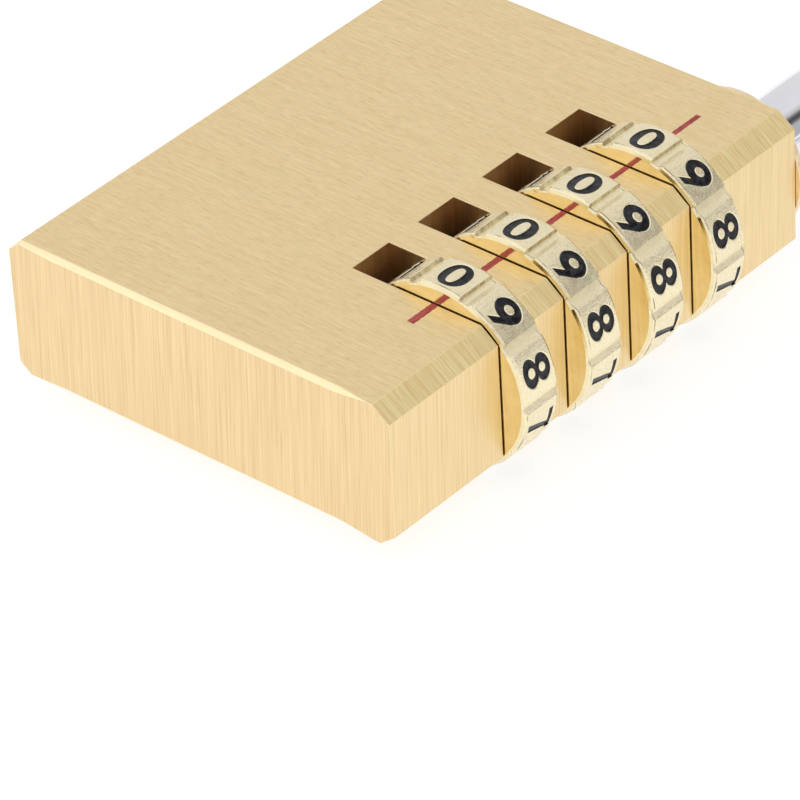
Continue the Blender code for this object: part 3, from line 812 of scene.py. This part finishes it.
# %% The ten digits
nine = [
    bowl((0, 0.46), (1.29, 1.04), (0.47, 0.41), (0, 0.55)),
    edges_between(
        [(0.55, 0.1), (0.22, -0.32), (-0.02, -0.62), (-0.38, -1.04), (-0.76, -1.5)],
        [(1.24, 0.28), (1.1, -0.16), (0.85, -0.5), (0.46, -0.95), (0.0, -1.5)],
    ),
]
DIGIT_STROKES = {
    0: [bowl((0, 0.0), (1.31, 1.5), (0.51, 1.06), squareness=2.25)],
    1: [
        edges_between([(-0.12, 1.5), (-0.12, -1.5)], [(0.62, 1.5), (0.62, -1.5)]),
        edges_between([(0.25, 1.5), (-0.15, 1.24), (-0.8, 1.02)], [(0.25, 0.9), (-0.15, 0.72), (-0.8, 0.52)]),
    ],
    2: [
        bent_stroke(
            [(-0.84, 0.56, 0.36), (-0.5, 1.12, 0.27), (0.05, 1.27, 0.23), (0.62, 1.03, 0.31)]
            + [(0.78, 0.56, 0.37), (0.42, -0.05, 0.35), (-0.18, -0.66, 0.33), (-0.62, -1.2, 0.33)]
        ),
        edges_between([(-1.1, -1.03), (1.14, -1.03)], [(-1.1, -1.5), (1.14, -1.5)]),
    ],
    3: [
        bent_stroke(
            [(-0.9, 0.86, 0.3), (-0.42, 1.22, 0.26), (0.2, 1.22, 0.26), (0.72, 0.76, 0.36)]
            + [(0.5, 0.26, 0.3), (-0.2, 0.1, 0.23)]
        ),
        bent_stroke(
            [(-0.2, 0.09, 0.22), (0.52, -0.06, 0.3), (0.8, -0.62, 0.38), (0.3, -1.2, 0.27)]
            + [(-0.4, -1.22, 0.26), (-0.94, -0.84, 0.3)]
        ),
    ],
    4: [
        edges_between([(0.14, 1.5), (0.14, -1.5)], [(0.88, 1.5), (0.88, -1.5)]),
        edges_between([(-1.25, -0.44), (1.3, -0.44)], [(-1.25, -0.92), (1.3, -0.92)]),
        edges_between([(0.2, 1.45), (-1.23, -0.5)], [(0.82, 1.3), (-0.55, -0.52)]),
    ],
    5: [
        bent_stroke(
            [(-0.62, 0.16, 0.27), (-0.06, 0.36, 0.25), (0.56, 0.2, 0.32), (0.82, -0.42, 0.38)]
            + [(0.4, -1.14, 0.29), (-0.3, -1.24, 0.26), (-0.94, -0.88, 0.3)]
        ),
        edges_between([(-0.9, 1.46), (-0.98, 0.08)], [(-0.24, 1.42), (-0.34, 0.02)]),
        edges_between([(-0.86, 1.5), (1.0, 1.5)], [(-0.86, 1.02), (1.0, 1.02)]),
    ],
    6: [half_turned(stroke) for stroke in nine],
    7: [
        edges_between([(-1.14, 1.5), (1.14, 1.5)], [(-1.14, 1.03), (1.14, 1.03)]),
        edges_between([(0.36, 1.12), (-0.06, 0.2), (-0.62, -1.5)], [(1.12, 1.3), (0.72, 0.4), (0.14, -1.5)]),
    ],
    8: [
        bowl((0, 0.73), (1.17, 0.79), (0.4, 0.36), (0, 0.66)),
        bowl((0, -0.68), (1.25, 0.82), (0.46, 0.39), (0, -0.59)),
    ],
    9: nine,
}
print("strokes:", sum(len(strokes) for strokes in DIGIT_STROKES.values()))

# %% [markdown]
# A stroke becomes a cutter by giving each station a cross-section: a shallow dish with a flared lip.
# The lip is bare brass, and it is what shows as a thin bright line round each digit. The dish is painted.
# Every point is then wrapped onto the dial: across turns about the axis, up runs along it.


# %% Cutters for the digits
MM = 0.001
LIP, LIP_DEPTH, LIP_RISE = 0.085, 0.05, 0.05
DISH = [(0.0, -LIP_DEPTH), (0.16, -0.13), (0.5, -0.15), (0.84, -0.13), (1.0, -LIP_DEPTH)]
LAYER_STEP = 0.006  # a later stroke goes a little deeper, so that no two floors lie in one another


def section(station, deeper):
    """(across, up, height) points of the dish at one station, lip to lip."""
    left, right = (Vector(point) for point in station)
    out = (right - left).normalized()
    flare = LIP * (LIP_DEPTH + LIP_RISE) / LIP_DEPTH
    points = [(*(left - out * flare), LIP_RISE)]
    points += [(*left.lerp(right, share), height - deeper) for share, height in DISH]
    points.append((*(right + out * flare), LIP_RISE))
    return points


def wrapped(point, turn):
    across, up, height = (value * MM for value in point)
    turn += across / DIAL_RADIUS
    reach = DIAL_RADIUS + height
    return first_axis + Vector((reach * math.sin(turn), up, reach * math.cos(turn)))


def cut_stroke(bm, stroke, turn, deeper):
    ribbon, closed = stroke
    rows = [[bm.verts.new(wrapped(p, turn)) for p in section(station, deeper)] for station in ribbon]
    pairs = list(zip(rows, rows[1:])) + ([(rows[-1], rows[0])] if closed else [])
    for near, far in pairs:
        for place, quad in enumerate(join_rows(bm, near, far)):
            quad.material_index = PAINT if 0 < place < len(near) - 2 else PAD
    if not closed:
        for row in (rows[0], rows[-1]):
            bm.faces.new(row).material_index = PAINT


def cutter_for(layer):
    """One closed mesh with the given stroke of every digit that has it."""
    bm = bmesh.new()
    for digit, strokes in DIGIT_STROKES.items():
        if layer < len(strokes):
            cut_stroke(bm, strokes[layer], -digit * math.tau / PADS, LAYER_STEP * layer)
    bmesh.ops.recalc_face_normals(bm, faces=bm.faces)
    return make_piece(f"digit_cutter_{layer}", bm, dial_finishes)


# %% [markdown]
# The cutters are taken out of the ring one layer at a time, because two strokes of one digit overlap.
# Ring and cutters are closed shells, so the quick Manifold solver can be used.
# The faces that a cut leaves keep the finish of the cutter, so the paint needs no mask.
# The finished ring is then copied to each dial's place on the axis.

# %% Engrave one ring, then place four
DIAL_SHARP = math.radians(12)
for layer in range(max(len(strokes) for strokes in DIGIT_STROKES.values())):
    cutter = cutter_for(layer)
    carve = blank.modifiers.new("engrave", "BOOLEAN")
    carve.operation = "DIFFERENCE"
    carve.solver = "MANIFOLD"
    carve.object = cutter
    blank.data = evaluated_mesh(blank)
    bpy.data.objects.remove(cutter)
print("engraved ring:", len(blank.data.polygons), "faces")

for number in (1, 2, 3, 4):
    bm = bmesh.new()
    bm.from_mesh(blank.data)
    bmesh.ops.translate(bm, verts=bm.verts, vec=pivots[f"dial_{number}"] - first_axis)
    dial = make_piece(f"number_dial_{number}", bm, dial_finishes, DIAL_SHARP)
    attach(dial, f"dial_{number}")
    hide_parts(f"dial_{number}")
bpy.data.objects.remove(blank)

# %% [markdown]
# The shackle is a bar of hardened steel, bent cold and plated with chrome.
# Chrome is a clear mirror, so it needs little more than faint polishing marks and a slow change in gloss.

# %% Chrome
chrome, tree, shader = new_metal("plated_chrome", 0.07)
spot = place_on_piece(tree)
haze = noise(tree, spot, 220)
wipe = noise(tree, spot, (9000, 500, 9000))
colour = blend_colours(tree, share_of(tree, haze, *MOST), (0.80, 0.795, 0.83), (0.88, 0.87, 0.91))
shade_with(tree, shader, colour, share_of(tree, haze, *MOST, 0.04, 0.09), wipe, 0.000004, 0.15)
print("plating:", chrome.name)

# %% [markdown]
# A mirror shows every long thin triangle, so the bar that can be seen is swept again in short, even steps.
# The copy of the solid is cut off inside the collar, and the rim of the cut is what travels.
# It goes straight up, half a turn round the bend, down to the toe, and narrows there for the chamfer.


# %% Where the bar goes
RISE_STEPS, BEND_STEPS, FALL_STEPS = 8, 72, 6


def rim_round(bm, axis):
    """The points on the open edge of a cut, in order round an axis along Y."""
    rim = {vert for edge in bm.edges if edge.is_boundary for vert in edge.verts}
    return sorted(rim, key=lambda vert: math.atan2(vert.co.z - axis.z, vert.co.x - axis.x))


def bar_rows(start, leg, toe, bend_y, chamfer):
    """Rows of points, each a copy of the first that has gone on along the bar."""
    reach = Vector((toe.x - leg.x, 0, toe.z - leg.z))
    centre = Vector((leg.x, bend_y, leg.z)) + reach / 2
    up = Vector((0, 1, 0))
    rise = bend_y - start[0].y
    rows = [[point + up * rise * n / RISE_STEPS for point in start] for n in range(RISE_STEPS + 1)]
    foot = rows[-1]
    for n in range(1, BEND_STEPS + 1):
        turn = Matrix.Rotation(math.pi * n / BEND_STEPS, 3, up.cross(reach.normalized()))
        rows.append([centre + turn @ (point - centre) for point in foot])
    foot = rows[-1]
    fall = bend_y - toe.y
    for n in range(1, FALL_STEPS + 1):
        rows.append([point - up * (fall - chamfer) * n / FALL_STEPS for point in foot])
    axis_foot = Vector((toe.x, bend_y, toe.z))
    inward = 1 - chamfer / (foot[0] - axis_foot).length
    rows.append([axis_foot + (point - axis_foot) * inward - up * fall for point in foot])
    return rows


# %% [markdown]
# The sizes of the bar are measured on the solid: its thickness, its toe and the height of its bend.
# The swept bar is joined to what is left of the solid, whose fins stay as they are inside the lock.

# %% Shackle
TOE_SOFT, TOE_SOFT_STEPS = 0.00012, 3
DOWNWARD = -0.99


def reach_from(axis, verts):
    """How far the farthest of some points is from an axis along Y."""
    return max(math.hypot(vert.co.x - axis.x, vert.co.z - axis.z) for vert in verts)


bm = merged_copy("shackle")
bm.normal_update()
toe_faces = [face for face in bm.faces if face.normal.y < DOWNWARD]
toe_face = max(toe_faces, key=lambda face: face.calc_area())
toe = toe_face.calc_center_median()
leg = pivots["shackle"]
cut_y = (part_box("body")[1].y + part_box("shackle_collar")[1].y) / 2
bar_radius = reach_from(leg, [vert for vert in bm.verts if vert.co.y < cut_y])
toe_chamfer = bar_radius - reach_from(toe, toe_face.verts)
bend_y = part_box("shackle")[1].y - bar_radius - math.hypot(toe.x - leg.x, toe.z - leg.z) / 2
whole = [*bm.verts, *bm.edges, *bm.faces]
bmesh.ops.bisect_plane(bm, geom=whole, plane_co=(0, cut_y, 0), plane_no=(0, 1, 0), clear_outer=True)
rows = [rim_round(bm, leg)]
start = [vert.co.copy() for vert in rows[0]]
for row in bar_rows(start, leg, toe, bend_y, toe_chamfer)[1:]:
    rows.append([bm.verts.new(point) for point in row])
for near, far in zip(rows, rows[1:]):
    join_rows(bm, near, far)
bm.faces.new(rows[-1])
bmesh.ops.recalc_face_normals(bm, faces=bm.faces)
toe_rims = {vert for row in rows[-2:] for vert in row}
toe_edges = [edge for edge in bm.edges if set(edge.verts) <= toe_rims and edge.calc_face_angle(0) > SHARP]
soften(bm, toe_edges, TOE_SOFT, TOE_SOFT_STEPS)
open_edges = sum(edge.is_boundary for edge in bm.edges)
print("shackle: open edges", open_edges, "bar radius in mm", round(bar_radius * 1000, 3))
shackle = make_piece("shackle_bar", bm, [chrome])
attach(shackle, "shackle")
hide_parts("shackle")

# %% [markdown]
# Where the long leg enters the block, a turned brass collar is pressed in to guide it.
# Turning leaves fine rings, so the noise is squeezed along the axis only.

# %% Collar
COLLAR_SOFT = 0.00008
turned_brass, tree, shader = new_metal("turned_brass", 0.25)
spot = place_on_piece(tree)
rings = noise(tree, spot, (40, 14000, 40))
smear = noise(tree, spot, 500)
colour = blend_colours(tree, share_of(tree, smear, *MOST), (0.90, 0.71, 0.46), (1.0, 0.83, 0.58))
shade_with(tree, shader, colour, share_of(tree, rings, *MOST, 0.2, 0.34), rings, 0.000006, 0.3)

bm = merged_copy("shackle_collar")
bm.normal_update()
soften(bm, [edge for edge in bm.edges if edge.calc_face_angle() > SHARP], COLLAR_SOFT)
collar = make_piece("leg_collar", bm, [turned_brass])
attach(collar, "case")
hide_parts("shackle_collar")
print("collar:", len(collar.data.polygons), "faces")

# %% [markdown]
# The working parts inside stay as the solids made them: their shapes are right and little of them shows.
# They still get real finishes: turned brass for the tumblers, drawn wire for the springs and the ring,
# and ground steel for the balls.

# %% Working parts inside
drawn_wire, tree, shader = new_metal("drawn_wire", 0.32)
drawn = noise(tree, place_on_piece(tree), 6000)
colour = blend_colours(tree, share_of(tree, drawn, *MOST), (0.34, 0.34, 0.36), (0.52, 0.52, 0.54))
shade_with(tree, shader, colour, share_of(tree, drawn, *MOST, 0.26, 0.4), drawn, 0.000006, 0.3)

ball_steel, tree, shader = new_metal("ground_ball_steel", 0.12)
ground = noise(tree, place_on_piece(tree), 3000)
colour = blend_colours(tree, share_of(tree, ground, *MOST), (0.58, 0.58, 0.60), (0.72, 0.72, 0.74))
shade_with(tree, shader, colour, share_of(tree, ground, *MOST, 0.08, 0.2), ground, 0.000003, 0.2)

inner_finish = {"tumbler": turned_brass, "detent_ball": ball_steel}
kept = 0
for name, solid in nodes.items():
    if not solid.hide_render:
        for slot in solid.material_slots:
            slot.material = inner_finish.get(name.rsplit("_", 1)[0], drawn_wire)
        kept += 1
print("solids that stay:", kept)

# %% [markdown]
# The lock lies on a plain white floor.
# What the camera and the metal see of the floor is white, and a little of the real shading is left in it,
# so that a soft shadow stays under the lock. The light that the floor throws back is plain white card.

# %% Floor
FLOOR_GLOW = 0.8
SHADED_GREY, CARD_GREY = (0.3, 0.3, 0.3, 1), (0.8, 0.8, 0.8, 1)
FLOOR_RADIUS, FLOOR_GAP = 4.0, 0.00002

floor_white, tree, _ = new_finish("floor_white")
tree.nodes.clear()
rays = add_node(tree, "ShaderNodeLightPath").outputs
seen = sum_of(tree, "MAXIMUM", rays["Is Camera Ray"], rays["Is Glossy Ray"])
seen = sum_of(tree, "MAXIMUM", seen, rays["Is Transmission Ray"])
glow = add_node(tree, "ShaderNodeEmission", {"Color": (1, 1, 1, 1), "Strength": FLOOR_GLOW})
shaded = add_node(tree, "ShaderNodeBsdfDiffuse", {"Color": SHADED_GREY})
both = add_node(tree, "ShaderNodeAddShader", {0: glow.outputs[0], 1: shaded.outputs[0]})
card = add_node(tree, "ShaderNodeBsdfDiffuse", {"Color": CARD_GREY})
mix = add_node(tree, "ShaderNodeMixShader", {0: seen, 1: card.outputs[0], 2: both.outputs[0]})
add_node(tree, "ShaderNodeOutputMaterial", {0: mix.outputs[0]})

bm = bmesh.new()
bmesh.ops.create_circle(bm, cap_ends=True, segments=96, radius=FLOOR_RADIUS)
bmesh.ops.translate(bm, verts=bm.verts, vec=(0, 0, cad_box[0].z - FLOOR_GAP))
floor = make_piece("floor", bm, [floor_white])
print("floor at z in mm:", round((cad_box[0].z - FLOOR_GAP) * 1000, 2))

# %% [markdown]
# A white tent lights the lock from all round, as for a catalogue picture.
# Metal is only as good as what it mirrors, so the tent isn't even: it is a little dimmer behind.
# A grey card with a black one in it stands at the back on the right.
# They darken the dials where they turn away.
# A third dark patch, about where a camera would stand, shows in the eased rims of the dials.

# %% Tent
TENT_FADE, TENT_FRONT, TENT_BACK = (-0.1, 0.35), 1.0, 0.82
CARDS = [  # direction, angles in degrees where it starts to fade and where it ends, how much it dims
    ((0.66, 0.62, 0.42), 20, 33, 0.30),
    ((0.547, 0.579, 0.603), 5, 13, 0.47),
    ((0.56, -0.66, 0.50), 12, 27, 0.60),
]
world = bpy.data.worlds.new("tent")
scene.world = world
world.use_nodes = True
tree = world.node_tree
tree.nodes.clear()
toward = add_node(tree, "ShaderNodeTexCoord").outputs["Generated"]


def towards(direction, low_deg, high_deg):
    """1 near a direction, fading to 0 between two angles away from it."""
    feeds = {0: toward, 1: Vector(direction).normalized()}
    dot = add_node(tree, "ShaderNodeVectorMath", feeds, operation="DOT_PRODUCT").outputs["Value"]
    return share_of(tree, dot, math.cos(math.radians(high_deg)), math.cos(math.radians(low_deg)))


behind = add_node(tree, "ShaderNodeSeparateXYZ", {0: toward}).outputs[1]
level = share_of(tree, behind, *TENT_FADE, TENT_FRONT, TENT_BACK)
for direction, low_deg, high_deg, dims in CARDS:
    dimmed = sum_of(tree, "MULTIPLY", towards(direction, low_deg, high_deg), dims)
    level = sum_of(tree, "SUBTRACT", level, dimmed)
rays = add_node(tree, "ShaderNodeLightPath").outputs
level = sum_of(tree, "MAXIMUM", level, rays["Is Camera Ray"])
tent = add_node(tree, "ShaderNodeBackground", {"Color": (1, 1, 1, 1), "Strength": level})
add_node(tree, "ShaderNodeOutputWorld", {0: tent.outputs[0]})
print("tent:", len(CARDS), "cards")

# %% [markdown]
# One lamp is added: a soft box at the front on the left. It lights the eased edge of the near end.

# %% Soft box
SOFT_BOX_SIZE = (0.55, 0.40)
SOFT_BOX_PLACE = Vector((-0.548, -0.719, 0.43)) * 0.9
SOFT_BOX_WATTS = 0.12

soft_box = bpy.data.lights.new("soft_box", "AREA")
soft_box.shape = "RECTANGLE"
soft_box.size, soft_box.size_y = SOFT_BOX_SIZE
soft_box.energy = SOFT_BOX_WATTS
lamp = bpy.data.objects.new("soft_box", soft_box)
scene.collection.objects.link(lamp)
lamp.location = SOFT_BOX_PLACE
lamp.rotation_euler = (-lamp.location).to_track_quat("-Z", "Y").to_euler()
lamp.visible_camera = False
print("soft box at", [round(part, 3) for part in lamp.location])
